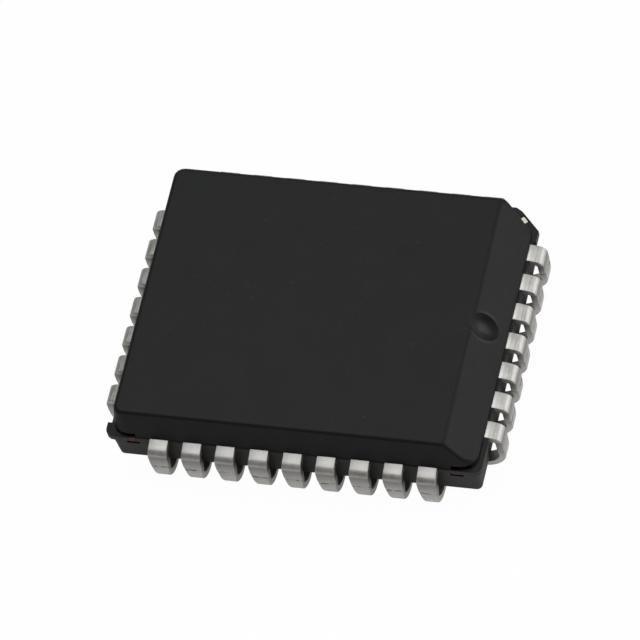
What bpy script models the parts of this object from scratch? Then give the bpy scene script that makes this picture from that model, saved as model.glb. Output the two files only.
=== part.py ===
"""A 32-lead plastic leaded chip carrier, built in Blender at its real size.

Units are metres, +Z is up, and the origin lies on the board, under the middle of the package.
The long sides run along X. The bevelled side with the pin 1 dimple faces +X, and the large corner
chamfer is at +X, +Y. Leads are numbered as on the real package: lead_01 is at the middle of the
bevelled side, and the numbers run counter-clockwise seen from above.
"""

import math

import bmesh
import bpy
from mathutils import Matrix, Vector

# Lead frame
PITCH = 0.00127
LONG_SIDE_LEADS = 9
SHORT_SIDE_LEADS = 7
SHEET = 0.00025
LEAD_WIDTH = 0.00072
FOOT_WIDTH = 0.00048
END_STAND_OUT = 0.00051
SIDE_STAND_OUT = 0.000545
STRAIGHT_HEIGHT = 0.0003656
SHOULDER_SLOPE = math.radians(15)
SHOULDER_RADIUS = 0.00033
CONTACT_RADIUS = 0.001
CONTACT_FLAT = math.radians(12)
TIP_ANGLE = math.radians(78)
TAPER_HEIGHT = 0.00045
TAPER_ANGLE = math.radians(28)
SHOULDER_STEPS = 4
CURL_STEPS = 6
TIP_STEPS = 5

# Lead fingers inside the moulding
FINGER_ENTRY = 0.00045
FINGER_NECK = 0.0003
FINGER_WIDTH = 0.00046
FINGER_TIP_WIDTH = 0.0003
FINGER_TIP_PITCH = 0.00062
FINGER_TO_PADDLE = 0.0004

# Die paddle, tie bars, die and bond wires
PADDLE_LENGTH = 0.0064
PADDLE_WIDTH = 0.0048
TIE_BAR_WIDTH = 0.00027
TIE_BAR_PAST_LEAD = 0.00104
TIE_BAR_RUN = 0.0007
TIE_BAR_KNEE_IN = 0.00035
TIE_BAR_KNEE_BACK = 0.0012
TIE_BAR_END_SETBACK = 0.00006
DIE_LENGTH = 0.0043
DIE_WIDTH = 0.0033
DIE_THICKNESS = 0.00035
BOND_LINE = 0.00004
WIRE_DIAMETER = 0.00003
WIRE_SIDES = 4
WIRE_STEPS = 6
WIRE_LOOP = 0.0002
WIRE_STITCH = 0.00012
WIRE_ROOT = 0.000015
BALL_INSET = 0.00015
PAD_ROW_INSET = 0.0003

# Moulding
UPPER_END_STEP = 0.000095
UPPER_SIDE_STEP = 0.000035
UPPER_HEIGHT = 0.00119
UPPER_END_DRAFT = math.radians(7)
UPPER_SIDE_DRAFT = math.radians(15)
UPPER_CORNER = 0.0006
UPPER_EDGE = 0.0002
FLANGE_CORNER = 0.0003
PIN_1_EAR = 0.00009
FAR_EAR = 0.00016
FAR_EAR_LENGTH = 0.00056
LOWER_END_STEP = 0.000015
LOWER_SIDE_STEP = 0.00003
LOWER_DEPTH = 0.00119
LOWER_DRAFT = math.radians(5)
LOWER_CORNER = 0.0003
LOWER_EDGE = 0.00005
CHAMFER = 0.00102
CHAMFER_ROUND = 0.0006
FLANGE_CHAMFER = 0.000915
BROKEN_BACK = 0.0001
BROKEN_ALONG = 0.00015
BEVEL_ANGLE = math.radians(45)
BEVEL_WALL = 0.00006
BEVEL_ROUND = 0.0003
SHARPEST_CORNER = 0.00008
ARC_STEPS = 4
EDGE_STEPS = 3
RIM_PASSES = 25
HALVINGS = 40
JOIN_OVERLAP = 0.0001

# Marks and pockets in the moulding
DIMPLE_WIDTH = 0.00108
DIMPLE_LENGTH = 0.00138
DIMPLE_DEPTH = 0.00018
DIMPLE_SETBACK = 0.00055
DIMPLE_SEGMENTS = 32
EJECTOR_DIAMETER = 0.0024
EJECTOR_DEPTH = 0.00005
EJECTOR_SEGMENTS = 32
POCKET_SIDE_GAP = 0.0001
POCKET_LENGTH = 0.0005
POCKET_ROOF_GAP = 0.00035
CORNER_POCKET_WALL = 0.000075
TRIM_SLOT_HEIGHT = 0.0002
TRIM_SLOT_DEPTH = 0.00025
TRIM_SLOT_LENGTH = 0.0005
RELIEF_SLOT_HEIGHT = 0.00017
RELIEF_SLOT_DEPTH = 0.00024
RELIEF_SLOT_LENGTH = 0.00078
RELIEF_SLOT_OFFSET = 0.00023

# Clearance between the moulding and what it encloses
CLEARANCE = 0.00001

# Edges flatter than this are shaded smooth
SMOOTH_ANGLE = math.radians(30)

# Follows from the sizes above
CURL_HEIGHT = CONTACT_RADIUS * math.cos(CONTACT_FLAT / 2)
TIP_TOP = CURL_HEIGHT - (CONTACT_RADIUS - SHEET) * math.cos(TIP_ANGLE)
SHOULDER_RUN = END_STAND_OUT - SHOULDER_RADIUS * (1 - math.sin(SHOULDER_SLOPE))
SHOULDER_DROP = SHOULDER_RUN * math.tan(SHOULDER_SLOPE) + SHOULDER_RADIUS * math.cos(SHOULDER_SLOPE)
LEAD_TOP = CURL_HEIGHT + TAPER_HEIGHT + STRAIGHT_HEIGHT + SHOULDER_DROP
LEAD_BOTTOM = LEAD_TOP - SHEET
UNDERSIDE = LEAD_BOTTOM - LOWER_DEPTH
END_LEAD_X = (LONG_SIDE_LEADS - 1) / 2 * PITCH
END_LEAD_Y = (SHORT_SIDE_LEADS - 1) / 2 * PITCH
CORNER_ROOM = FOOT_WIDTH / 2 + POCKET_SIDE_GAP + CORNER_POCKET_WALL + 2 * CONTACT_RADIUS
FLANGE_LENGTH = 2 * (END_LEAD_X + CORNER_ROOM - END_STAND_OUT)
FLANGE_WIDTH = 2 * (END_LEAD_Y + CORNER_ROOM - SIDE_STAND_OUT)
UPPER_LENGTH = FLANGE_LENGTH - 2 * UPPER_END_STEP
UPPER_WIDTH = FLANGE_WIDTH - 2 * UPPER_SIDE_STEP
LOWER_LENGTH = FLANGE_LENGTH - 2 * LOWER_END_STEP
LOWER_WIDTH = FLANGE_WIDTH - 2 * LOWER_SIDE_STEP
TIE_BAR_EXIT = END_LEAD_X + TIE_BAR_PAST_LEAD
DIE_BOTTOM = LEAD_TOP + BOND_LINE
DIE_TOP = DIE_BOTTOM + DIE_THICKNESS
MARGIN = 0.0001
SAME_PLACE = 1e-9


def clear_scene():
    for obj in list(bpy.data.objects):
        bpy.data.objects.remove(obj, do_unlink=True)


def material(name, colour, roughness, metallic=0.0):
    made = bpy.data.materials.new(name)
    made.use_nodes = True
    shader = made.node_tree.nodes["Principled BSDF"]
    shader.inputs["Base Color"].default_value = (*colour, 1.0)
    shader.inputs["Roughness"].default_value = roughness
    shader.inputs["Metallic"].default_value = metallic
    return made


def add_object(name, bm, look=None, location=(0, 0, 0), turn=0.0):
    """Turns a bmesh into an object that stands at location, turned about +Z."""
    bmesh.ops.recalc_face_normals(bm, faces=bm.faces)
    mesh = bpy.data.meshes.new(name)
    bm.to_mesh(mesh)
    bm.free()
    obj = bpy.data.objects.new(name, mesh)
    obj.location = location
    obj.rotation_euler = (0, 0, turn)
    if look:
        mesh.materials.append(look)
    bpy.context.scene.collection.objects.link(obj)
    return obj


def as_helper(obj):
    obj.hide_render = True
    obj.display_type = "WIRE"
    return obj


def add_boolean(obj, helper, operation):
    modifier = obj.modifiers.new(f"{operation.lower()} {helper.name}", "BOOLEAN")
    modifier.operation = operation
    modifier.solver = "EXACT"
    modifier.object = as_helper(helper)


def shade(obj):
    obj.data.shade_smooth()
    obj.data.set_sharp_from_angle(angle=SMOOTH_ANGLE)


def loft(bm, rings, first_cap=True, last_cap=True):
    """Skins closed rings of equal length, and returns the last ring's vertices."""
    rows = [[bm.verts.new(point) for point in ring] for ring in rings]
    count = len(rows[0])
    for lower, upper in zip(rows, rows[1:]):
        for i in range(count):
            j = (i + 1) % count
            bm.faces.new((lower[i], lower[j], upper[j], upper[i]))
    if first_cap:
        bm.faces.new(rows[0][::-1])
    if last_cap:
        bm.faces.new(rows[-1])
    return rows[-1]


def prism(bm, outline, bottom, top):
    loft(bm, [[(x, y, z) for x, y in outline] for z in (bottom, top)])


def box(bm, low, high):
    outline = ((low[0], low[1]), (high[0], low[1]), (high[0], high[1]), (low[0], high[1]))
    prism(bm, outline, low[2], high[2])


def corner_arc(corner, before, after, radius, steps):
    """Rounds an outline's corner: the points from one wall to the next."""
    corner = Vector(corner)
    into = (corner - Vector(before)).normalized()
    out = (Vector(after) - corner).normalized()
    turn = into.angle(out)
    setback = radius * math.tan(turn / 2)
    start_normal = Vector((into.y, -into.x))
    centre = corner - into * setback - start_normal * radius
    arc = []
    for step in range(steps + 1):
        normal = start_normal.copy()
        normal.rotate(Matrix.Rotation(turn * step / steps, 2))
        arc.append(centre + normal * radius)
    return arc


def package_outline(length, width, chamfer, corner, chamfer_corner):
    """The package's plan, counter-clockwise, with its corners rounded to the radii given."""
    x, y = length / 2, width / 2
    corners = [(x, -y), (x, y - chamfer), (x - chamfer, y), (-x, y), (-x, -y)]
    radii = [corner, chamfer_corner, chamfer_corner, corner, corner]
    outline = []
    for i, place in enumerate(corners):
        after = corners[(i + 1) % len(corners)]
        outline += corner_arc(place, corners[i - 1], after, radii[i], ARC_STEPS)
    return outline


def inset_outline(plan, inset_x, inset_y):
    """The plan (length, width, corner radius) with its walls moved in."""
    length, width, corner = plan
    inset = (inset_x + inset_y) / 2
    chamfer = CHAMFER - (2 - math.sqrt(2)) * inset
    corner = max(corner - inset, SHARPEST_CORNER)
    chamfer_corner = max(CHAMFER_ROUND - inset, SHARPEST_CORNER)
    return package_outline(length - 2 * inset_x, width - 2 * inset_y, chamfer, corner, chamfer_corner)


def place_on(outline, turn):
    """The place on an outline at a fractional index."""
    first = int(turn)
    count = len(outline)
    return outline[first % count].lerp(outline[(first + 1) % count], turn - first)


def bevel_line():
    """Where the bevelled band starts on the top face, were the edge there sharp."""
    return UPPER_LENGTH / 2 - (UPPER_HEIGHT - BEVEL_WALL) / math.tan(BEVEL_ANGLE)


def bevel_start():
    return bevel_line() - BEVEL_ROUND * math.tan(BEVEL_ANGLE / 2)


def bevel_end():
    return bevel_start() + BEVEL_ROUND * math.sin(BEVEL_ANGLE)


def upper_crown(x):
    """Height of the upper half over the lead frame, at x: flat, a rounded edge, then the bevel."""
    if x <= bevel_start():
        return UPPER_HEIGHT
    if x >= bevel_end():
        return UPPER_HEIGHT - (x - bevel_line()) * math.tan(BEVEL_ANGLE)
    along = x - bevel_start()
    return UPPER_HEIGHT - (BEVEL_ROUND - math.sqrt(BEVEL_ROUND**2 - along**2))


def lower_crown(x):
    return LOWER_DEPTH


def wall_place(plan, turn, drafts, radius, height, angle):
    """A place on the rounded edge over a wall: angle 0 is the top of the wall, a right angle the crown."""
    rounding = radius * (1 - math.cos(angle))
    inset_x = (height - radius) * math.tan(drafts[0]) + rounding
    inset_y = (height - radius) * math.tan(drafts[1]) + rounding
    return place_on(inset_outline(plan, inset_x, inset_y), turn)


def crown_rim(plan, turn, crown, drafts, edge):
    """Where the wall meets the crown, with the height there and the edge's radius."""
    height = crown(place_on(inset_outline(plan, 0, 0), turn).x)
    for _ in range(RIM_PASSES):
        radius = min(edge, height / 2)
        top = wall_place(plan, turn, drafts, radius, height, math.pi / 2)
        height = crown(top.x)
    return top, height, radius


def outline_turns(plan, breaks, crown, drafts, edge):
    """The outline's own indices, and those between them where the crown's rim has each x in breaks."""
    turns = []
    for i in range(len(inset_outline(plan, 0, 0))):
        turns.append(float(i))
        here = crown_rim(plan, i, crown, drafts, edge)[0].x
        there = crown_rim(plan, i + 1, crown, drafts, edge)[0].x
        crossed = [at for at in breaks if min(here, there) < at < max(here, there)]
        for at in sorted(crossed, reverse=there < here):
            low, high = float(i), i + 1.0
            for _ in range(HALVINGS):
                middle = (low + high) / 2
                if (crown_rim(plan, middle, crown, drafts, edge)[0].x < at) == (here < there):
                    low = middle
                else:
                    high = middle
            turns.append(middle)
    return turns


def half_rings(plan, turns, crown, drafts, edge):
    """Rings of one mould half as (x, y, height): its foot, the drafted wall and the rounded edge."""
    foot = inset_outline(plan, 0, 0)
    rings = [[] for _ in range(EDGE_STEPS + 3)]
    for turn in turns:
        base = place_on(foot, turn)
        rings[0].append((base.x, base.y, -JOIN_OVERLAP))
        rings[1].append((base.x, base.y, 0.0))
        _, height, radius = crown_rim(plan, turn, crown, drafts, edge)
        for step in range(EDGE_STEPS + 1):
            angle = math.pi / 2 * step / EDGE_STEPS
            place = wall_place(plan, turn, drafts, radius, height, angle)
            rings[2 + step].append((place.x, place.y, height - radius + radius * math.sin(angle)))
    return rings


def crown_faces(bm, ring, breaks):
    """Closes the upper half: flat top, the strips of the rounded bevel edge, and the bevel itself."""
    stops = [-math.inf, *breaks, math.inf]
    for low, high in zip(stops, stops[1:]):
        bm.faces.new([vert for vert in ring if low - SAME_PLACE <= vert.co.x <= high + SAME_PLACE])


def upper_half():
    span = bevel_end() - bevel_start()
    breaks = [bevel_start() + span * step / EDGE_STEPS for step in range(EDGE_STEPS + 1)]
    plan = (UPPER_LENGTH, UPPER_WIDTH, UPPER_CORNER)
    drafts = (UPPER_END_DRAFT, UPPER_SIDE_DRAFT)
    turns = outline_turns(plan, breaks, upper_crown, drafts, UPPER_EDGE)
    rings = half_rings(plan, turns, upper_crown, drafts, UPPER_EDGE)
    bm = bmesh.new()
    last = loft(bm, [[(x, y, LEAD_TOP + h) for x, y, h in ring] for ring in rings], last_cap=False)
    crown_faces(bm, last, breaks)
    return bm


def lower_half():
    plan = (LOWER_LENGTH, LOWER_WIDTH, LOWER_CORNER)
    drafts = (LOWER_DRAFT, LOWER_DRAFT)
    turns = range(len(inset_outline(plan, 0, 0)))
    rings = half_rings(plan, turns, lower_crown, drafts, LOWER_EDGE)
    bm = bmesh.new()
    loft(bm, [[(x, y, LEAD_BOTTOM - h) for x, y, h in ring] for ring in rings])
    return bm


def flange():
    """The parting line's flange, as thick as the lead frame, with ears past three of the end leads."""
    x, y = FLANGE_LENGTH / 2, FLANGE_WIDTH / 2
    near, far = x + PIN_1_EAR, x + FAR_EAR
    near_start = END_LEAD_Y + LEAD_WIDTH / 2 + POCKET_SIDE_GAP
    far_start = y - FAR_EAR_LENGTH
    right = [(near, -y), (near, -near_start), (x, -near_start), (x, near_start), (near, near_start)]
    left = [(-x, y), (-x, -far_start), (-far, -far_start), (-far, -y)]
    rounded = {(near, -y), (-x, y), (-far, -y)}
    corners = right + flange_chamfer(near, y) + left
    outline = []
    for i, corner in enumerate(corners):
        if corner in rounded:
            after = corners[(i + 1) % len(corners)]
            outline += corner_arc(corner, corners[i - 1], after, FLANGE_CORNER, ARC_STEPS)
        else:
            outline.append(Vector(corner))
    bm = bmesh.new()
    prism(bm, [(point.x, point.y) for point in outline], LEAD_BOTTOM, LEAD_TOP)
    return bm


def flange_chamfer(x, y):
    """The flange's edge at the chamfered corner, with the broken corner at its back end."""
    back = x - FLANGE_CHAMFER
    return [(x, y - FLANGE_CHAMFER), (back + BROKEN_ALONG, y - BROKEN_ALONG), (back - BROKEN_BACK, y)]


def side_sites():
    """Each lead's number, side turn, distance of the side from the middle and place along it."""
    counts = (SHORT_SIDE_LEADS, LONG_SIDE_LEADS, SHORT_SIDE_LEADS, LONG_SIDE_LEADS)
    sites = []
    for side, count in enumerate(counts):
        for place in range(count):
            sites.append((side, (place - (count - 1) / 2) * PITCH))
    first = (SHORT_SIDE_LEADS - 1) // 2
    return sites[first:] + sites[:first]


def side_turn(side):
    return side * math.pi / 2


def side_distance(side):
    return (FLANGE_LENGTH if side % 2 == 0 else FLANGE_WIDTH) / 2


def side_reach(side):
    return END_STAND_OUT if side % 2 == 0 else SIDE_STAND_OUT


def finger_stations(side, along):
    """The buried finger, from its tip to the wall: (outward place, sideways place, width)."""
    paddle = PADDLE_LENGTH if side % 2 == 0 else PADDLE_WIDTH
    tip = paddle / 2 + FINGER_TO_PADDLE - side_distance(side)
    fan = along * FINGER_TIP_PITCH / PITCH - along
    neck = -FINGER_ENTRY - FINGER_NECK
    return [
        (tip, fan, FINGER_TIP_WIDTH),
        (neck, 0.0, FINGER_WIDTH),
        (-FINGER_ENTRY, 0.0, LEAD_WIDTH),
    ]


def lead_profile(reach):
    """The formed part's outer face, from the wall to the tip: (outward, height, normal's angle)."""
    bend_x = reach - SHOULDER_RADIUS
    start_angle = math.pi / 2 - SHOULDER_SLOPE
    start_x = bend_x + SHOULDER_RADIUS * math.cos(start_angle)
    start_z = LEAD_TOP - start_x * math.tan(SHOULDER_SLOPE)
    bend_z = start_z - SHOULDER_RADIUS * math.sin(start_angle)
    points = [(0.0, LEAD_TOP, math.pi / 2)]
    for step in range(SHOULDER_STEPS + 1):
        angle = start_angle * (1 - step / SHOULDER_STEPS)
        points.append(arc_point(bend_x, bend_z, SHOULDER_RADIUS, angle))
    points.append((reach, CURL_HEIGHT + TAPER_HEIGHT, 0.0))
    curl_x = reach - CONTACT_RADIUS
    down = math.pi / 2 - CONTACT_FLAT / 2
    for step in range(CURL_STEPS + 1):
        points.append(arc_point(curl_x, CURL_HEIGHT, CONTACT_RADIUS, -down * step / CURL_STEPS))
    for step in range(TIP_STEPS + 1):
        angle = -down - CONTACT_FLAT - (TIP_ANGLE - CONTACT_FLAT / 2) * step / TIP_STEPS
        points.append(arc_point(curl_x, CURL_HEIGHT, CONTACT_RADIUS, angle))
    return points


def arc_point(x, z, radius, angle):
    return (x + radius * math.cos(angle), z + radius * math.sin(angle), angle)


def formed_width(height, angle):
    """Full width at the shoulder, narrowing above the curl to the foot's width."""
    taper = CURL_HEIGHT + TAPER_HEIGHT
    if height >= taper:
        return LEAD_WIDTH
    length = TAPER_HEIGHT + CONTACT_RADIUS * TAPER_ANGLE
    done = (taper - height) if angle >= 0 else TAPER_HEIGHT + CONTACT_RADIUS * -angle
    share = min(1.0, done / length)
    return LEAD_WIDTH + (FOOT_WIDTH - LEAD_WIDTH) * share


def finger_section(x, y, width, low, high):
    """A flat cross-section across the finger, counter-clockwise seen from the tip."""
    left, right = y - width / 2, y + width / 2
    return [(x, left, low), (x, right, low), (x, right, high), (x, left, high)]


def formed_section(x, z, angle, width):
    """A cross-section of the bent strip, as thick as the sheet, square to its outer face."""
    inner_x, inner_z = x - SHEET * math.cos(angle), z - SHEET * math.sin(angle)
    low, high = -width / 2, width / 2
    return [(inner_x, low, inner_z), (inner_x, high, inner_z), (x, high, z), (x, low, z)]


def lead_mesh(side, along):
    sections = [finger_section(*station, LEAD_BOTTOM, LEAD_TOP) for station in finger_stations(side, along)]
    for x, z, angle in lead_profile(side_reach(side)):
        sections.append(formed_section(x, z, angle, formed_width(z, angle)))
    bm = bmesh.new()
    loft(bm, sections)
    return bm


def wire_points(side, along):
    """A bond wire's course in the lead's own frame, from the finger's tip to the pad on the die."""
    tip, fan, _ = finger_stations(side, along)[0]
    distance = side_distance(side)
    die = DIE_LENGTH if side % 2 == 0 else DIE_WIDTH
    across = DIE_WIDTH if side % 2 == 0 else DIE_LENGTH
    count = SHORT_SIDE_LEADS if side % 2 == 0 else LONG_SIDE_LEADS
    pad_pitch = (across - 2 * PAD_ROW_INSET) / (count - 1)
    start = Vector((tip + WIRE_STITCH, along + fan, LEAD_TOP - WIRE_ROOT))
    end = Vector((die / 2 - BALL_INSET - distance, along * pad_pitch / PITCH, DIE_TOP + 2 * CLEARANCE))
    points = []
    for step in range(WIRE_STEPS + 1):
        angle = math.pi * step / WIRE_STEPS
        point = start.lerp(end, (1 - math.cos(angle)) / 2)
        points.append(point + Vector((0, -along, WIRE_LOOP * math.sin(angle))))
    return points


def tube_rings(points, radius):
    """Rings round a course of points. Each lies across the course, and the two end rings lie level."""
    last = len(points) - 1
    rings = []
    for i, point in enumerate(points):
        ahead = points[min(i + 1, last)] - points[max(i - 1, 0)]
        across = Vector((-ahead.y, ahead.x, 0)).normalized()
        if i == 0:
            ahead = Vector((0, 0, 1))
        elif i == last:
            ahead = Vector((0, 0, -1))
        lift = ahead.cross(across).normalized()
        ring = []
        for side in range(WIRE_SIDES):
            angle = 2 * math.pi * (side + 0.5) / WIRE_SIDES
            ring.append(point + (across * math.cos(angle) + lift * math.sin(angle)) * radius)
        rings.append(ring)
    return rings


def wire_mesh(side, along, extra=0.0):
    bm = bmesh.new()
    add_wire(bm, side, along, extra)
    return bm


def add_wire(bm, side, along, extra, place=None):
    points = wire_points(side, along)
    if extra:
        points[-1] = points[-1] - Vector((0, 0, 3 * CLEARANCE))
    radius = WIRE_DIAMETER / 2 / math.cos(math.pi / WIRE_SIDES) + extra
    rings = tube_rings(points, radius)
    if place:
        rings = [[place @ point for point in ring] for ring in rings]
    loft(bm, rings)


def site_matrix(side, along):
    turn = Matrix.Rotation(side_turn(side), 4, "Z")
    return turn @ Matrix.Translation((side_distance(side), along, 0))


def add_lead(number, side, along, look):
    place = site_matrix(side, along)
    name = f"lead_{number:02d}"
    lead = add_object(name, lead_mesh(side, along), look, place.translation, side_turn(side))
    wire = add_object(f"wire_{number:02d}", wire_mesh(side, along), None, place.translation, side_turn(side))
    add_boolean(lead, wire, "UNION")
    shade(lead)
    return lead


def finger_cutter():
    """Slots for all the fingers, a clearance wider than they are on every side."""
    bm = bmesh.new()
    for side, along in side_sites():
        place = site_matrix(side, along)
        sections = []
        stations = finger_stations(side, along)
        stations[0] = (stations[0][0] - CLEARANCE, *stations[0][1:])
        stations.append((MARGIN, 0.0, LEAD_WIDTH))
        for x, y, width in stations:
            section = finger_section(
                x, y, width + 2 * CLEARANCE, LEAD_BOTTOM - CLEARANCE, LEAD_TOP + CLEARANCE
            )
            sections.append([place @ Vector(point) for point in section])
        loft(bm, sections)
    return bm


def wire_cutter():
    bm = bmesh.new()
    for side, along in side_sites():
        add_wire(bm, side, along, CLEARANCE, site_matrix(side, along))
    return bm


def tie_bar_course(x_sign, y_sign):
    """A tie bar's course in plan, from inside the paddle to its cut end at the corner."""
    inner = Vector((PADDLE_LENGTH / 2 - TIE_BAR_WIDTH, PADDLE_WIDTH / 2 - TIE_BAR_WIDTH))
    exit_y = FLANGE_WIDTH / 2
    knee = Vector((TIE_BAR_EXIT - TIE_BAR_KNEE_IN, exit_y - TIE_BAR_KNEE_BACK))
    if x_sign > 0 and y_sign > 0:
        half = FLANGE_LENGTH / 2 + PIN_1_EAR + FLANGE_WIDTH / 2 - FLANGE_CHAMFER
        reach = (half - knee.x - knee.y) / 2 - TIE_BAR_END_SETBACK
        course = [inner, knee, knee + Vector((reach, reach))]
    else:
        course = [inner, knee, Vector((TIE_BAR_EXIT, exit_y - TIE_BAR_RUN)), Vector((TIE_BAR_EXIT, exit_y))]
    return [Vector((point.x * x_sign, point.y * y_sign)) for point in course]


def strip_outline(course, width):
    """A flat strip of even width along a course, as one outline."""
    left, right = [], []
    for i, point in enumerate(course):
        into = (point - course[i - 1]).normalized() if i else None
        out = (course[i + 1] - point).normalized() if i + 1 < len(course) else None
        along = ((into or out) + (out or into)).normalized()
        side = Vector((-along.y, along.x))
        stretch = 1 / along.dot(into or out)
        left.append(point + side * width / 2 * stretch)
        right.append(point - side * width / 2 * stretch)
    return right + left[::-1]


def tie_bars(grow, low, high, longer=0.0):
    bars = []
    for x_sign, y_sign in ((1, 1), (-1, 1), (-1, -1), (1, -1)):
        course = tie_bar_course(x_sign, y_sign)
        ahead = (course[-1] - course[-2]).normalized()
        course[-1] = course[-1] + ahead * longer
        bm = bmesh.new()
        prism(bm, [(p.x, p.y) for p in strip_outline(course, TIE_BAR_WIDTH + 2 * grow)], low, high)
        bars.append(bm)
    return bars


def add_paddle(look):
    """The die paddle with its four tie bars, all one piece of the lead frame's sheet."""
    bm = bmesh.new()
    half_x, half_y = PADDLE_LENGTH / 2, PADDLE_WIDTH / 2
    box(bm, (-half_x, -half_y, LEAD_BOTTOM), (half_x, half_y, LEAD_TOP))
    paddle = add_object("die_paddle", bm, look)
    for number, bar in enumerate(tie_bars(0.0, LEAD_BOTTOM, LEAD_TOP), 1):
        add_boolean(paddle, add_object(f"tie_bar_{number}", bar), "UNION")
    return paddle


def add_bond_layer(look):
    bm = bmesh.new()
    low, high = LEAD_TOP + CLEARANCE, DIE_BOTTOM - CLEARANCE
    box(bm, (-DIE_LENGTH / 2, -DIE_WIDTH / 2, low), (DIE_LENGTH / 2, DIE_WIDTH / 2, high))
    return add_object("die_attach", bm, look)


def add_die(look):
    bm = bmesh.new()
    box(bm, (-DIE_LENGTH / 2, -DIE_WIDTH / 2, DIE_BOTTOM), (DIE_LENGTH / 2, DIE_WIDTH / 2, DIE_TOP))
    return add_object("silicon_die", bm, look)


def paddle_cutter():
    bm = bmesh.new()
    half_x, half_y = PADDLE_LENGTH / 2 + CLEARANCE, PADDLE_WIDTH / 2 + CLEARANCE
    low, high = LEAD_BOTTOM - CLEARANCE, LEAD_TOP + CLEARANCE
    box(bm, (-half_x, -half_y, low), (half_x, half_y, high))
    return bm


def die_cutter():
    bm = bmesh.new()
    half_x, half_y = DIE_LENGTH / 2 + CLEARANCE, DIE_WIDTH / 2 + CLEARANCE
    box(bm, (-half_x, -half_y, LEAD_TOP - CLEARANCE), (half_x, half_y, DIE_TOP + CLEARANCE))
    return bm


def pocket_cutter():
    """Pockets in the underside, one for each lead's tip."""
    bm = bmesh.new()
    for side, along in side_sites():
        place = site_matrix(side, along)
        inner = side_reach(side) - 2 * CONTACT_RADIUS
        outer = inner + POCKET_LENGTH
        half = FOOT_WIDTH / 2 + POCKET_SIDE_GAP
        sections = []
        for z in (UNDERSIDE - MARGIN, TIP_TOP + POCKET_ROOF_GAP):
            plan = ((inner, -half), (outer, -half), (outer, half), (inner, half))
            sections.append([place @ Vector((x, y, z)) for x, y in plan])
        loft(bm, sections)
    return bm


def dimple_cutter():
    """The oval dish that marks pin 1, square to the bevel and close to the bevel's upper edge."""
    chord = DIMPLE_WIDTH / 2
    radius = (chord**2 + DIMPLE_DEPTH**2) / (2 * DIMPLE_DEPTH)
    middle_x = bevel_line() + DIMPLE_SETBACK * math.cos(BEVEL_ANGLE)
    middle = Vector((middle_x, 0, LEAD_TOP + upper_crown(middle_x)))
    normal = Vector((math.sin(BEVEL_ANGLE), 0, math.cos(BEVEL_ANGLE)))
    bm = bmesh.new()
    bmesh.ops.create_uvsphere(bm, u_segments=DIMPLE_SEGMENTS, v_segments=DIMPLE_SEGMENTS, radius=radius)
    keep = radius - DIMPLE_DEPTH - MARGIN
    geometry = bm.verts[:] + bm.edges[:] + bm.faces[:]
    cut = bmesh.ops.bisect_plane(
        bm, geom=geometry, plane_co=(0, 0, -keep), plane_no=(0, 0, 1), clear_outer=True
    )
    rim = [item for item in cut["geom_cut"] if isinstance(item, bmesh.types.BMEdge)]
    bmesh.ops.edgeloop_fill(bm, edges=rim)
    stretch = Matrix.Diagonal((DIMPLE_LENGTH / DIMPLE_WIDTH, 1, 1, 1))
    aim = Vector((0, 0, 1)).rotation_difference(normal).to_matrix().to_4x4()
    centre = middle + normal * (radius - DIMPLE_DEPTH)
    bmesh.ops.transform(bm, matrix=Matrix.Translation(centre) @ aim @ stretch, verts=bm.verts)
    return bm


def ejector_cutter():
    bm = bmesh.new()
    bmesh.ops.create_cone(
        bm, cap_ends=True, segments=EJECTOR_SEGMENTS, depth=2 * EJECTOR_DEPTH,
        radius1=EJECTOR_DIAMETER / 2, radius2=EJECTOR_DIAMETER / 2,
    )
    bmesh.ops.translate(bm, vec=(0, 0, UNDERSIDE), verts=bm.verts)
    return bm


def wall_slots(offset, length, depth, low, high):
    """Slots in the long sides' walls at the three square corners, placed from each tie bar's end."""
    bm = bmesh.new()
    face = FLANGE_WIDTH / 2
    for x_sign, y_sign in ((-1, 1), (-1, -1), (1, -1)):
        x = x_sign * (TIE_BAR_EXIT + offset) - length / 2
        y = sorted((y_sign * (face - depth), y_sign * (face + MARGIN)))
        box(bm, (x, y[0], low), (x + length, y[1], high))
    return bm


def trim_slot_cutter():
    """The notch that the trimming tool leaves under each tie bar's cut end."""
    low, high = LEAD_BOTTOM - TRIM_SLOT_HEIGHT, LEAD_BOTTOM + CLEARANCE
    return wall_slots(0.0, TRIM_SLOT_LENGTH, TRIM_SLOT_DEPTH, low, high)


def relief_slot_cutter():
    """The crevice over the flange at each square corner, beside and above the tie bar's end."""
    low, high = LEAD_TOP - CLEARANCE, LEAD_TOP + RELIEF_SLOT_HEIGHT
    return wall_slots(RELIEF_SLOT_OFFSET, RELIEF_SLOT_LENGTH, RELIEF_SLOT_DEPTH, low, high)


def add_body(look):
    """The moulding: two drafted halves joined by the flange, then every slot and mark cut in it."""
    body = add_object("moulded_body", upper_half(), look)
    add_boolean(body, add_object("body_flange", flange()), "UNION")
    add_boolean(body, add_object("body_lower_half", lower_half()), "UNION")
    add_boolean(body, add_object("finger_slots", finger_cutter()), "DIFFERENCE")
    add_boolean(body, add_object("paddle_pocket", paddle_cutter()), "DIFFERENCE")
    bars = tie_bars(CLEARANCE, LEAD_BOTTOM - CLEARANCE, LEAD_TOP + CLEARANCE, CLEARANCE)
    for number, bar in enumerate(bars, 1):
        add_boolean(body, add_object(f"tie_bar_slot_{number}", bar), "DIFFERENCE")
    add_boolean(body, add_object("die_pocket", die_cutter()), "DIFFERENCE")
    add_boolean(body, add_object("wire_channels", wire_cutter()), "DIFFERENCE")
    add_boolean(body, add_object("tip_pockets", pocket_cutter()), "DIFFERENCE")
    add_boolean(body, add_object("pin_1_dimple", dimple_cutter()), "DIFFERENCE")
    add_boolean(body, add_object("ejector_mark", ejector_cutter()), "DIFFERENCE")
    add_boolean(body, add_object("trim_slots", trim_slot_cutter()), "DIFFERENCE")
    add_boolean(body, add_object("relief_slots", relief_slot_cutter()), "DIFFERENCE")
    shade(body)
    return body


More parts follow.
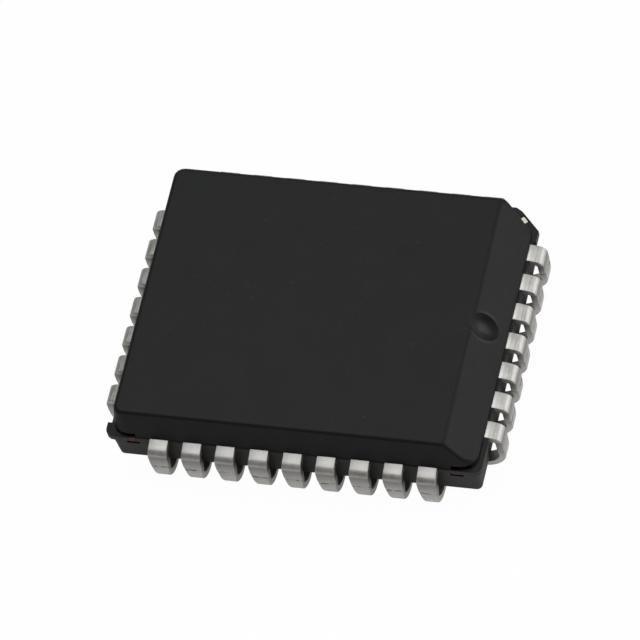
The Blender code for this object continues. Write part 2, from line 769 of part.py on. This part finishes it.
def main():
    clear_scene()
    compound = material("moulding_compound", (0.028, 0.03, 0.032), 0.55)
    tin = material("tinned_lead", (0.62, 0.61, 0.58), 0.38, 1.0)
    copper = material("lead_frame_copper", (0.62, 0.32, 0.2), 0.35, 1.0)
    silver_glue = material("silver_epoxy", (0.55, 0.55, 0.56), 0.5, 0.6)
    silicon = material("silicon", (0.2, 0.22, 0.26), 0.25, 0.4)
    add_body(compound)
    for number, (side, along) in enumerate(side_sites(), 1):
        add_lead(number, side, along, tin)
    add_paddle(copper)
    add_bond_layer(silver_glue)
    add_die(silicon)


main()
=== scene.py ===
import math

import bmesh
import bpy
from mathutils import Matrix, Vector


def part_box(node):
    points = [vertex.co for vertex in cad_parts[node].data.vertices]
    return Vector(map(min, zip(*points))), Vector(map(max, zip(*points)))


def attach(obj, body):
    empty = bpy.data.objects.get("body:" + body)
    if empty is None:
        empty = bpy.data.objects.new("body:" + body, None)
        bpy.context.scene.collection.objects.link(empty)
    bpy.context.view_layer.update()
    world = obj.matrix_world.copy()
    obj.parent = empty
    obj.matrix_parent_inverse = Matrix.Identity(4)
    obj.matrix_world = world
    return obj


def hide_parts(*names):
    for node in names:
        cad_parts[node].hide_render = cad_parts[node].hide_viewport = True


# The looks of a 32-lead plastic leaded chip carrier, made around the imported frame.
# Everything is in metres, in the frame of the part: the chip rests on z = 0, and its bevelled end faces +X.

MM = 0.001

# Camera, as fitted to the photograph
AIM = Vector((-0.206, 0.030, 2.281)) * MM
AZIMUTH = math.radians(27.31)
ELEVATION = math.radians(56.43)
ROLL = math.radians(17.67)
DISTANCE = 332.3 * MM
LENS = 509.7
SENSOR = 36.0

# Leads: sizes that the frame's boxes don't give
PITCH = 1.27 * MM
LONG_SIDE_LEADS = 9
SHORT_SIDE_LEADS = 7
SHEET = 0.25 * MM
LEAD_TOP = 2.2 * MM
LEAD_WIDTH = 0.72 * MM
FOOT_WIDTH = 0.48 * MM
SHOULDER_SLOPE = math.radians(15)
SHOULDER_RADIUS = 0.33 * MM
CONTACT_RADIUS = 1.0 * MM
CONTACT_FLAT = math.radians(12)
TIP_ANGLE = math.radians(78)
TAPER_HEIGHT = 0.45 * MM
TAPER_ANGLE = math.radians(28)
FINGER_ENTRY = 0.45 * MM
FINGER_NECK = 0.3 * MM
FINGER_WIDTH = 0.46 * MM
FINGER_TIP_WIDTH = 0.3 * MM
FINGER_TIP_PITCH = 0.62 * MM
FINGER_TIP_X = 3.6 * MM
FINGER_TIP_Y = 2.8 * MM
EDGE_ROUND = 0.028 * MM
BURR_ROUND = 0.012 * MM
ROUND_STEPS = 4
SHOULDER_STEPS = 14
STRAIGHT_STEPS = 14
CURL_STEPS = 26
TIP_STEPS = 16
WALL_STEPS = 5
WALL_SHARE = 0.7
WALL_BEND_STEPS = 2

# How far the flange's ear stands out past the wall between the end leads
EAR = 0.09 * MM

# The dent that the forming tool leaves across each lead, with painted shade along it, and the line where an
# end lead's bend starts
CREASE_HEIGHT = 1.27 * MM
CREASE_HALF = 0.06 * MM
CREASE_DEPTH = 0.014 * MM
CREASE_LIMIT = math.radians(60)
BEND_LINE_X = 7.2 * MM

# Bond wires, from each finger's tip to a pad on the die
WIRE_DIAMETER = 0.03 * MM
WIRE_SIDES = 8
WIRE_STEPS = 12
WIRE_LOOP = 0.2 * MM
WIRE_STITCH = 0.12 * MM
WIRE_ROOT = 0.015 * MM
WIRE_END_HEIGHT = 2.61 * MM
PAD_PITCH_X = 0.45 * MM
PAD_PITCH_Y = 0.4625 * MM

# The middle of the dimple's dish, and how far from it the smoother finish reaches
DIMPLE_MIDDLE = Vector((6.19, 0, 3.0)) * MM
DIMPLE_INNER = 0.55 * MM
DIMPLE_OUTER = 0.66 * MM

# The tie bars' cut ends lie beyond this distance from the long middle line
TIE_BAR_END_Y = 4.65 * MM

# Light: the world is brightest along WORLD_LEAN. A box is (place, size in metres, power in watts)
WORLD_LEAN = (0.55, 0.35, 0.6)
WORLD_RANGE = (-0.6, 1.0)
WORLD_LOW = 0.03
WORLD_HIGH = 0.46
TOP_BOX = ((-0.075, 0.11, 0.48), 0.35, 1.15)
RIGHT_BOX = ((0.42, 0.22, 0.17), 0.35, 0.9)

# Floor: how white it is to the camera, and in reflections
FLOOR_SIZE = 2.5
FLOOR_DROP = 0.002 * MM
FLOOR_GREY = 0.82
FLOOR_WHITE = 0.98
FLOOR_WHITE_IN_GLOSS = 0.2

# Mesh: edges flatter than SMOOTH_ANGLE shade smoothly, and faces nearly in one plane are joined
SMOOTH_ANGLE = math.radians(38)
FLAT_ANGLE = math.radians(0.5)
SAME_PLACE = 1e-7

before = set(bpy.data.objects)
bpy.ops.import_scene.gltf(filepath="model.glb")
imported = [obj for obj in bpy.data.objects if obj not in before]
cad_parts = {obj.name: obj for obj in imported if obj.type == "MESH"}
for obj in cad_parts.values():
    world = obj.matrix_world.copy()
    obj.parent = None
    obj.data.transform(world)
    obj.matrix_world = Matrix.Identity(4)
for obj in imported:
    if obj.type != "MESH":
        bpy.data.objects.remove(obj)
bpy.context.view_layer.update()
BODY_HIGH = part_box("moulded_body")[1]
END_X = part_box("lead_01")[1].x
SIDE_Y = -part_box("lead_25")[0].y
WIRE_END_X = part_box("lead_01")[0].x + WIRE_DIAMETER / 2
WIRE_END_Y = -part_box("lead_25")[1].y + WIRE_DIAMETER / 2


# Node helpers

def new_material(name):
    made = bpy.data.materials.new(name)
    made.use_nodes = True
    nodes = made.node_tree.nodes
    nodes.clear()
    output = nodes.new("ShaderNodeOutputMaterial")
    shader = nodes.new("ShaderNodeBsdfPrincipled")
    made.node_tree.links.new(shader.outputs["BSDF"], output.inputs["Surface"])
    return made, shader


def link(material, start, end):
    material.node_tree.links.new(start, end)


def places(material):
    """The surface's own place, in millimetres."""
    nodes = material.node_tree.nodes
    source = nodes.new("ShaderNodeTexCoord")
    scale = nodes.new("ShaderNodeMapping")
    scale.inputs["Scale"].default_value = (1 / MM, 1 / MM, 1 / MM)
    link(material, source.outputs["Object"], scale.inputs["Vector"])
    return scale.outputs["Vector"]


def noise(material, where, scale, detail=3.0, roughness=0.5, stretch=None):
    nodes = material.node_tree.nodes
    if stretch:
        squeeze = nodes.new("ShaderNodeMapping")
        squeeze.inputs["Scale"].default_value = stretch
        link(material, where, squeeze.inputs["Vector"])
        where = squeeze.outputs["Vector"]
    texture = nodes.new("ShaderNodeTexNoise")
    texture.inputs["Scale"].default_value = scale
    texture.inputs["Detail"].default_value = detail
    texture.inputs["Roughness"].default_value = roughness
    link(material, where, texture.inputs["Vector"])
    return texture.outputs["Fac"]


def remap(material, value, low, high, out_low=0.0, out_high=1.0):
    node = material.node_tree.nodes.new("ShaderNodeMapRange")
    node.inputs["From Min"].default_value = low
    node.inputs["From Max"].default_value = high
    node.inputs["To Min"].default_value = out_low
    node.inputs["To Max"].default_value = out_high
    link(material, value, node.inputs["Value"])
    return node.outputs["Result"]


def math_node(material, operation, first, second):
    node = material.node_tree.nodes.new("ShaderNodeMath")
    node.operation = operation
    for socket, value in zip(node.inputs, (first, second)):
        if isinstance(value, (int, float)):
            socket.default_value = value
        else:
            link(material, value, socket)
    return node.outputs["Value"]


def mix_colour(material, factor, first, second):
    node = material.node_tree.nodes.new("ShaderNodeMix")
    node.data_type = "RGBA"
    link(material, factor, node.inputs["Factor"])
    for name, value in (("A", first), ("B", second)):
        socket = [s for s in node.inputs if s.name == name and s.type == "RGBA"][0]
        if isinstance(value, tuple):
            socket.default_value = (*value, 1.0)
        else:
            link(material, value, socket)
    return [s for s in node.outputs if s.type == "RGBA"][0]


def axis_of(material, where, axis):
    split = material.node_tree.nodes.new("ShaderNodeSeparateXYZ")
    link(material, where, split.inputs["Vector"])
    return split.outputs[axis]


def size_of(material, value):
    return math_node(material, "ABSOLUTE", value, 0.0)


def product(material, first, second):
    return math_node(material, "MULTIPLY", first, second)


def bump(material, height, distance, strength=1.0, below=None):
    node = material.node_tree.nodes.new("ShaderNodeBump")
    node.inputs["Strength"].default_value = strength
    node.inputs["Distance"].default_value = distance
    link(material, height, node.inputs["Height"])
    if below:
        link(material, below, node.inputs["Normal"])
    return node.outputs["Normal"]


# Materials

def in_dimple(material, where):
    """The dimple's dish, which the mould's pin left smoother than the rest."""
    apart = material.node_tree.nodes.new("ShaderNodeVectorMath")
    apart.operation = "DISTANCE"
    apart.inputs[1].default_value = DIMPLE_MIDDLE / MM
    link(material, where, apart.inputs[0])
    return remap(material, apart.outputs["Value"], DIMPLE_OUTER / MM, DIMPLE_INNER / MM)


def moulding_compound():
    """Filled black epoxy: a fine even matte on top, and a greyer, grainier skin below the lead frame."""
    made, shader = new_material("moulding_compound")
    where = places(made)
    clouds = noise(made, where, 0.55, 4.0, 0.6)
    grain = noise(made, where, 16.0, 3.0, 0.65)
    fine = noise(made, where, 55.0, 2.0, 0.5)
    cloudy, grainy = remap(made, clouds, 0.3, 0.7), remap(made, grain, 0.35, 0.65)
    top = mix_colour(made, cloudy, (0.0044, 0.0049, 0.0055), (0.0066, 0.0071, 0.0075))
    skin = mix_colour(made, grainy, (0.022, 0.0215, 0.020), (0.050, 0.047, 0.044))
    lower = remap(made, axis_of(made, where, "Z"), 2.19, 2.15)
    body = mix_colour(made, lower, top, skin)
    specks = remap(made, noise(made, where, 9.0, 1.0, 0.4), 0.76, 0.82)
    link(made, mix_colour(made, specks, body, (0.026, 0.026, 0.025)), shader.inputs["Base Color"])
    rough = remap(made, grain, 0.3, 0.7, 0.48, 0.58)
    smooth = product(made, in_dimple(made, where), 0.2)
    link(made, math_node(made, "SUBTRACT", rough, smooth), shader.inputs["Roughness"])
    shader.inputs["Specular IOR Level"].default_value = 0.22
    coarse = bump(made, grain, 0.0030 * MM, 0.7)
    link(made, bump(made, fine, 0.0015 * MM, 0.7, coarse), shader.inputs["Normal"])
    return made


def painted_shade_in_dent(material, where):
    """Painted shade in the forming dent: a thin, broken dark line at the height where the forming tool
    pressed on each lead.
    """
    waves = remap(material, noise(material, where, 1.3, 1.0, 0.4), 0.3, 0.7, -0.05, 0.05)
    height = math_node(material, "ADD", axis_of(material, where, "Z"), waves)
    away = size_of(material, math_node(material, "SUBTRACT", height, CREASE_HEIGHT / MM))
    line = remap(material, away, 0.042, 0.014)
    broken = remap(material, noise(material, where, 5.0, 2.0, 0.5), 0.42, 0.52)
    return product(material, line, broken)


def painted_shade_under_bend(material, where):
    """Painted shade: the tin is darker just under the bend, fading out further down the upright face."""
    height = axis_of(material, where, "Z")
    fading = remap(material, height, 1.35, 1.82, 0.0, 0.62)
    return product(material, fading, remap(material, height, 1.93, 1.87))


def bend_line(material, where):
    """A faint line across each end lead where its bend starts."""
    outward = size_of(material, axis_of(material, where, "X"))
    waves = remap(material, noise(material, where, 3.0, 2.0, 0.5), 0.3, 0.7, -0.012, 0.012)
    off = math_node(material, "SUBTRACT", math_node(material, "ADD", outward, waves), BEND_LINE_X / MM)
    line = remap(material, size_of(material, off), 0.022, 0.006)
    on_top = remap(material, axis_of(material, where, "Z"), 1.96, 2.02)
    broken = remap(material, noise(material, where, 4.0, 2.0, 0.5), 0.40, 0.56, 0.15, 0.75)
    return product(material, product(material, line, on_top), broken)


def tinned_lead():
    """Satin tin over copper alloy: slightly mottled, with fine bending lines over the shoulder, painted
    shade under the bend and in the forming dent, and painted light on the foot.
    """
    made, shader = new_material("tinned_lead")
    where = places(made)
    mottle = noise(made, where, 3.2, 4.0, 0.6)
    grain = noise(made, where, 22.0, 3.0, 0.6)
    colour = mix_colour(made, remap(made, mottle, 0.3, 0.7), (0.44, 0.435, 0.41), (0.59, 0.58, 0.56))
    dark = remap(made, grain, 0.62, 0.80)
    tone_and_painted_light = mix_colour(made, dark, colour, (0.30, 0.295, 0.28))
    # Painted shade: the tin darkens just under the bend.
    tone_and_painted_light = mix_colour(made, painted_shade_under_bend(made, where), tone_and_painted_light, (0.17, 0.168, 0.156))
    # Painted light: the tin lightens towards the bottom of the foot.
    foot = remap(made, axis_of(made, where, "Z"), 1.2, 0.7, 0.0, 0.8)
    tone_and_painted_light = mix_colour(made, foot, tone_and_painted_light, (0.82, 0.81, 0.78))
    tone_and_painted_light = mix_colour(made, bend_line(made, where), tone_and_painted_light, (0.24, 0.235, 0.22))
    # Painted shade: a dark line along the forming dent.
    dent = painted_shade_in_dent(made, where)
    link(made, mix_colour(made, dent, tone_and_painted_light, (0.13, 0.127, 0.118)), shader.inputs["Base Color"])
    shader.inputs["Metallic"].default_value = 1.0
    link(made, remap(made, mottle, 0.3, 0.7, 0.44, 0.56), shader.inputs["Roughness"])
    lines = noise(made, where, 7.0, 2.0, 0.5, (0.25, 0.25, 6.0))
    ridges = bump(made, lines, 0.004 * MM, 0.6)
    link(made, bump(made, grain, 0.002 * MM, 0.7, ridges), shader.inputs["Normal"])
    return made


def cut_ends(material, where, colour):
    """The sheared ends of the tie bars are dull and brown, and the one at the chamfer is tinned."""
    across = axis_of(material, where, "Y")
    start, full = TIE_BAR_END_Y / MM - 0.05, TIE_BAR_END_Y / MM + 0.05
    patches = remap(material, noise(material, where, 4.3, 2.0, 0.5), 0.40, 0.62)
    brown = mix_colour(material, patches, (0.012, 0.010, 0.012), (0.085, 0.036, 0.036))
    dull = mix_colour(material, remap(material, size_of(material, across), start, full), colour, brown)
    right = remap(material, axis_of(material, where, "X"), 0.0, 0.1)
    tinned = product(material, remap(material, across, start, full), right)
    return mix_colour(material, tinned, dull, (0.42, 0.41, 0.37))


def simple_metal(name, light, dark, roughness, finish=None):
    made, shader = new_material(name)
    where = places(made)
    mottle = noise(made, where, 4.0, 4.0, 0.6)
    low, high = roughness - 0.06, roughness + 0.06
    colour = mix_colour(made, remap(made, mottle, 0.3, 0.7), dark, light)
    link(made, finish(made, where, colour) if finish else colour, shader.inputs["Base Color"])
    shader.inputs["Metallic"].default_value = 1.0
    link(made, remap(made, mottle, 0.3, 0.7, low, high), shader.inputs["Roughness"])
    link(made, bump(made, noise(made, where, 18.0), 0.002 * MM, 0.6), shader.inputs["Normal"])
    return made


def silver_glue():
    made, shader = new_material("silver_epoxy")
    where = places(made)
    flakes = noise(made, where, 30.0, 2.0, 0.6)
    colour = mix_colour(made, flakes, (0.42, 0.42, 0.43), (0.66, 0.66, 0.68))
    link(made, colour, shader.inputs["Base Color"])
    shader.inputs["Metallic"].default_value = 0.6
    shader.inputs["Roughness"].default_value = 0.5
    link(made, bump(made, flakes, 0.004 * MM, 0.7), shader.inputs["Normal"])
    return made


def silicon():
    made, shader = new_material("silicon")
    where = places(made)
    cells = noise(made, where, 5.0, 2.0, 0.5)
    colour = mix_colour(made, cells, (0.16, 0.18, 0.22), (0.26, 0.27, 0.31))
    link(made, colour, shader.inputs["Base Color"])
    shader.inputs["Metallic"].default_value = 0.4
    link(made, remap(made, cells, 0.3, 0.7, 0.18, 0.30), shader.inputs["Roughness"])
    return made


# Pieces

def shown(name, bm, material, slot, *nodes):
    """Adds a piece, shaded smooth, that rides on the part's only body and stands for the nodes named."""
    bmesh.ops.recalc_face_normals(bm, faces=bm.faces)
    for face in bm.faces:
        face.smooth = True
    for edge in bm.edges:
        edge.smooth = edge.calc_face_angle(0.0) < SMOOTH_ANGLE
    mesh = bpy.data.meshes.new(name)
    bm.to_mesh(mesh)
    bm.free()
    piece = bpy.data.objects.new(name, mesh)
    bpy.context.scene.collection.objects.link(piece)
    mesh.materials.append(material)
    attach(piece, "root")
    if nodes:
        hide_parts(*nodes)
    return piece


def add_weighted_normals(piece):
    modifier = piece.modifiers.new("even flat faces", "WEIGHTED_NORMAL")
    modifier.keep_sharp = True
    modifier.weight = 100


def add_body(material):
    """The moulding's own solid with its points welded, so that its rounded edges shade smoothly."""
    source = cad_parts["moulded_body"].data
    bm = bmesh.new()
    points = [bm.verts.new(vertex.co) for vertex in source.vertices]
    for polygon in source.polygons:
        bm.faces.new([points[i] for i in polygon.vertices])
    bmesh.ops.remove_doubles(bm, verts=bm.verts, dist=SAME_PLACE)
    bmesh.ops.dissolve_limit(bm, angle_limit=FLAT_ANGLE, verts=bm.verts, edges=bm.edges)
    body = shown("moulded_housing", bm, material, "moulding_compound", "moulded_body")
    add_weighted_normals(body)
    return body


def side_sites():
    """Each lead's side, 0 to 3 counter-clockwise from +X, and its place along that side."""
    counts = (SHORT_SIDE_LEADS, LONG_SIDE_LEADS, SHORT_SIDE_LEADS, LONG_SIDE_LEADS)
    sites = []
    for side, count in enumerate(counts):
        for place in range(count):
            sites.append((side, (place - (count - 1) / 2) * PITCH))
    first = (SHORT_SIDE_LEADS - 1) // 2
    return sites[first:] + sites[:first]


def outer_face(side):
    return END_X if side % 2 == 0 else SIDE_Y


def wall_face(side):
    """The flange's face: the middle of the long side, or the recess between the ears at the ends."""
    return BODY_HIGH.x - EAR if side % 2 == 0 else BODY_HIGH.y


def finger_stations(side, along):
    """The buried finger, from its tip to the wall."""
    wall = wall_face(side)
    tip = FINGER_TIP_X if side % 2 == 0 else FINGER_TIP_Y
    fan = along * FINGER_TIP_PITCH / PITCH - along
    up = math.pi / 2
    return [
        (tip, LEAD_TOP, up, FINGER_TIP_WIDTH, fan),
        (wall - FINGER_ENTRY - FINGER_NECK, LEAD_TOP, up, FINGER_WIDTH, 0.0),
        (wall - FINGER_ENTRY, LEAD_TOP, up, LEAD_WIDTH, 0.0),
    ]


def shoulder_stations(side, start, start_x, bend_z):
    """From the wall down the slope, and round the upper bend."""
    wall, bend_x = wall_face(side), outer_face(side) - SHOULDER_RADIUS
    stations = []
    for step in range(WALL_STEPS + 1):
        x = wall + (start_x - wall) * WALL_SHARE * step / WALL_STEPS
        slope = SHOULDER_SLOPE * min(1.0, step / WALL_BEND_STEPS)
        height = LEAD_TOP - (x - wall) * math.tan(SHOULDER_SLOPE)
        stations.append((x, height, math.pi / 2 - slope, LEAD_WIDTH, 0.0))
    for step in range(SHOULDER_STEPS + 1):
        angle = start * (1 - step / SHOULDER_STEPS)
        x = bend_x + SHOULDER_RADIUS * math.cos(angle)
        stations.append((x, bend_z + SHOULDER_RADIUS * math.sin(angle), angle, LEAD_WIDTH, 0.0))
    return stations


def upright_stations(outer, bend_z, curl_z):
    stations = []
    for step in range(1, STRAIGHT_STEPS):
        z = bend_z + (curl_z - bend_z) * step / STRAIGHT_STEPS
        stations.append((outer, z, 0.0, tapered(curl_z + TAPER_HEIGHT - z), 0.0))
    return stations


def curl_stations(outer, curl_z):
    """Round under the package, with a short flat where the lead stands on its board."""
    down = math.pi / 2 - CONTACT_FLAT / 2
    tip_turn = TIP_ANGLE - CONTACT_FLAT / 2
    turns = [-down * step / CURL_STEPS for step in range(CURL_STEPS + 1)]
    turns += [-down - CONTACT_FLAT - tip_turn * step / TIP_STEPS for step in range(TIP_STEPS + 1)]
    stations = []
    for angle in turns:
        x = outer - CONTACT_RADIUS + CONTACT_RADIUS * math.cos(angle)
        z = curl_z + CONTACT_RADIUS * math.sin(angle)
        stations.append((x, z, angle, tapered(TAPER_HEIGHT - CONTACT_RADIUS * angle), 0.0))
    return stations


def lead_course(side, along):
    """Stations along a lead: (outward, height, normal's angle, width, sideways)."""
    wall, outer = wall_face(side), outer_face(side)
    start = math.pi / 2 - SHOULDER_SLOPE
    start_x = outer - SHOULDER_RADIUS + SHOULDER_RADIUS * math.cos(start)
    start_z = LEAD_TOP - (start_x - wall) * math.tan(SHOULDER_SLOPE)
    bend_z = start_z - SHOULDER_RADIUS * math.sin(start)
    curl_z = CONTACT_RADIUS * math.cos(CONTACT_FLAT / 2)
    return (
        finger_stations(side, along)
        + shoulder_stations(side, start, start_x, bend_z)
        + upright_stations(outer, bend_z, curl_z)
        + curl_stations(outer, curl_z)
    )


def tapered(run):
    """Full width above the taper, narrowing evenly to the foot's width along the strip."""
    length = TAPER_HEIGHT + CONTACT_RADIUS * TAPER_ANGLE
    share = min(1.0, max(0.0, run / length))
    return LEAD_WIDTH + (FOOT_WIDTH - LEAD_WIDTH) * share


def crease(height, angle):
    """How far the forming dent takes the outer face in, at this height of the upright stretch."""
    away = abs(height - CREASE_HEIGHT) / CREASE_HALF
    if away >= 1 or abs(angle) > CREASE_LIMIT:
        return 0.0
    return CREASE_DEPTH * (1 + math.cos(math.pi * away)) / 2


def strip_section(station):
    """The strip's cross-section: rolled-over edges on its outer face, tighter ones on the burr side."""
    x, z, angle, width, sideways = station
    out = Vector((math.cos(angle), 0, math.sin(angle)))
    face = Vector((x, sideways, z)) - out * crease(z, angle)
    half = width / 2
    points = []
    corners = (
        (-half, -SHEET, BURR_ROUND, 180),
        (half, -SHEET, BURR_ROUND, 270),
        (half, 0.0, EDGE_ROUND, 0),
        (-half, 0.0, EDGE_ROUND, 90),
    )
    for side, depth, radius, first in corners:
        centre_side = side - math.copysign(radius, side)
        centre_depth = depth + (radius if depth < 0 else -radius)
        for step in range(ROUND_STEPS):
            turn = math.radians(first + 90 * step / (ROUND_STEPS - 1))
            across = centre_side + radius * math.cos(turn)
            points.append(face + Vector((0, across, 0)) + out * (centre_depth + radius * math.sin(turn)))
    return points


def loft(bm, rings):
    rows = [[bm.verts.new(point) for point in ring] for ring in rings]
    count = len(rows[0])
    for lower, upper in zip(rows, rows[1:]):
        for i in range(count):
            j = (i + 1) % count
            bm.faces.new((lower[i], lower[j], upper[j], upper[i]))
    bm.faces.new(rows[0][::-1])
    bm.faces.new(rows[-1])


def add_lead(number, side, along, material):
    place = Matrix.Rotation(side * math.pi / 2, 4, "Z") @ Matrix.Translation((0, along, 0))
    rings = [[place @ point for point in strip_section(s)] for s in lead_course(side, along)]
    bm = bmesh.new()
    loft(bm, rings)
    return shown(f"formed_lead_{number:02d}", bm, material, "tinned_lead", f"lead_{number:02d}")


def wire_points(side, along):
    """A bond wire's course: a loop that leans from its finger's tip down to its pad."""
    tip, end = (FINGER_TIP_X, WIRE_END_X) if side % 2 == 0 else (FINGER_TIP_Y, WIRE_END_Y)
    pad_pitch = PAD_PITCH_X if side % 2 == 0 else PAD_PITCH_Y
    start = Vector((tip + WIRE_STITCH, along * FINGER_TIP_PITCH / PITCH, LEAD_TOP - WIRE_ROOT))
    finish = Vector((end, along * pad_pitch / PITCH, WIRE_END_HEIGHT))
    points = []
    for step in range(WIRE_STEPS + 1):
        angle = math.pi * step / WIRE_STEPS
        point = start.lerp(finish, (1 - math.cos(angle)) / 2)
        points.append(point + Vector((0, 0, WIRE_LOOP * math.sin(angle))))
    return points


def wire_ring(before, point, after):
    ahead = (after - before).normalized()
    across = Vector((-ahead.y, ahead.x, 0)).normalized()
    lift = ahead.cross(across)
    ring = []
    for side in range(WIRE_SIDES):
        turn = 2 * math.pi * side / WIRE_SIDES
        ring.append(point + (across * math.cos(turn) + lift * math.sin(turn)) * WIRE_DIAMETER / 2)
    return ring


def add_wire(number, side, along, material):
    """A gold wire. It is part of its lead's node in the frame, so it takes no other node's place."""
    turn = Matrix.Rotation(side * math.pi / 2, 4, "Z")
    points = [turn @ point for point in wire_points(side, along)]
    bm = bmesh.new()
    loft(bm, [wire_ring(points[max(i - 1, 0)], point, points[min(i + 1, WIRE_STEPS)])
              for i, point in enumerate(points)])
    return shown(f"bond_wire_{number:02d}", bm, material, None)


# Stage

def white_to_camera(material, surface, share, gloss_share):
    """Shows a surface as white to the camera, and in part in reflections, with its own shadows kept."""
    nodes = material.node_tree.nodes
    rays = nodes.new("ShaderNodeLightPath").outputs
    mirrored = math_node(material, "MAXIMUM", rays["Is Glossy Ray"], rays["Is Transmission Ray"])
    mirrored = product(material, mirrored, gloss_share / share)
    seen = math_node(material, "MAXIMUM", rays["Is Camera Ray"], mirrored)
    white = nodes.new("ShaderNodeEmission")
    white.inputs["Color"].default_value = (1, 1, 1, 1)
    white.inputs["Strength"].default_value = 1.0
    mixed = nodes.new("ShaderNodeMixShader")
    link(material, product(material, seen, share), mixed.inputs["Fac"])
    link(material, surface, mixed.inputs[1])
    link(material, white.outputs["Emission"], mixed.inputs[2])
    return mixed.outputs["Shader"]


def add_floor():
    bm = bmesh.new()
    bmesh.ops.create_grid(bm, x_segments=1, y_segments=1, size=FLOOR_SIZE)
    mesh = bpy.data.meshes.new("studio_floor")
    bm.to_mesh(mesh)
    bm.free()
    floor = bpy.data.objects.new("studio_floor", mesh)
    floor.location.z = -FLOOR_DROP
    bpy.context.scene.collection.objects.link(floor)
    made = bpy.data.materials.new("studio_floor")
    made.use_nodes = True
    nodes = made.node_tree.nodes
    nodes.clear()
    output = nodes.new("ShaderNodeOutputMaterial")
    paper = nodes.new("ShaderNodeBsdfDiffuse")
    paper.inputs["Color"].default_value = (FLOOR_GREY, FLOOR_GREY, FLOOR_GREY, 1)
    seen = white_to_camera(made, paper.outputs["BSDF"], FLOOR_WHITE, FLOOR_WHITE_IN_GLOSS)
    link(made, seen, output.inputs["Surface"])
    mesh.materials.append(made)


def add_world():
    """Soft light from all round, brightest from overhead and from the right, and dim in front."""
    world = bpy.data.worlds.new("studio")
    bpy.context.scene.world = world
    world.use_nodes = True
    nodes = world.node_tree.nodes
    nodes.clear()
    output = nodes.new("ShaderNodeOutputWorld")
    soft = nodes.new("ShaderNodeBackground")
    seen = nodes.new("ShaderNodeBackground")
    mixed = nodes.new("ShaderNodeMixShader")
    path = nodes.new("ShaderNodeLightPath")
    where = nodes.new("ShaderNodeTexCoord")
    lean = nodes.new("ShaderNodeVectorMath")
    lean.operation = "DOT_PRODUCT"
    lean.inputs[1].default_value = WORLD_LEAN
    link(world, where.outputs["Generated"], lean.inputs[0])
    strength = remap(world, lean.outputs["Value"], *WORLD_RANGE, WORLD_LOW, WORLD_HIGH)
    link(world, strength, soft.inputs["Strength"])
    link(world, soft.outputs["Background"], mixed.inputs[1])
    link(world, seen.outputs["Background"], mixed.inputs[2])
    link(world, path.outputs["Is Camera Ray"], mixed.inputs["Fac"])
    link(world, mixed.outputs["Shader"], output.inputs["Surface"])
    soft.inputs["Color"].default_value = (1, 1, 1, 1)
    seen.inputs["Color"].default_value = (1, 1, 1, 1)


def add_lamp(name, place, size, power):
    """A square soft box that faces the chip."""
    data = bpy.data.lights.new(name, "AREA")
    data.size = size
    data.energy = power
    lamp = bpy.data.objects.new(name, data)
    lamp.location = place
    lamp.rotation_euler = (-Vector(place)).to_track_quat("-Z", "Y").to_euler()
    bpy.context.scene.collection.objects.link(lamp)


def add_camera():
    data = bpy.data.cameras.new("camera")
    data.sensor_width = SENSOR
    data.lens = LENS
    data.clip_start = 10 * MM
    camera = bpy.data.objects.new("camera", data)
    bpy.context.scene.collection.objects.link(camera)
    back = Vector((
        math.sin(AZIMUTH) * math.cos(ELEVATION),
        -math.cos(AZIMUTH) * math.cos(ELEVATION),
        math.sin(ELEVATION),
    ))
    level = Vector((math.cos(AZIMUTH), math.sin(AZIMUTH), 0))
    upright = back.cross(level)
    right = level * math.cos(ROLL) - upright * math.sin(ROLL)
    up = back.cross(right)
    turn = Matrix((right, up, back)).transposed().to_4x4()
    camera.matrix_world = Matrix.Translation(AIM + back * DISTANCE) @ turn
    bpy.context.scene.camera = camera


def dress_hidden_nodes():
    """Better materials for the inner pieces, which keep their CAD shape."""
    light, dark = (0.62, 0.30, 0.19), (0.42, 0.19, 0.12)
    looks = {
        "die_paddle": simple_metal("lead_frame_copper", light, dark, 0.36, cut_ends),
        "die_attach": silver_glue(),
        "silicon_die": silicon(),
    }
    for name, material in looks.items():
        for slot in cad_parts[name].material_slots:
            slot.material = material


def main():
    bpy.context.scene.view_settings.view_transform = "Standard"
    add_camera()
    add_floor()
    add_world()
    add_lamp("top_box", *TOP_BOX)
    add_lamp("right_box", *RIGHT_BOX)
    add_body(moulding_compound())
    tin = tinned_lead()
    gold = simple_metal("gold", (1.0, 0.74, 0.36), (0.86, 0.58, 0.24), 0.24)
    for number, (side, along) in enumerate(side_sites(), 1):
        add_lead(number, side, along, tin)
        add_wire(number, side, along, gold)
    dress_hidden_nodes()


main()
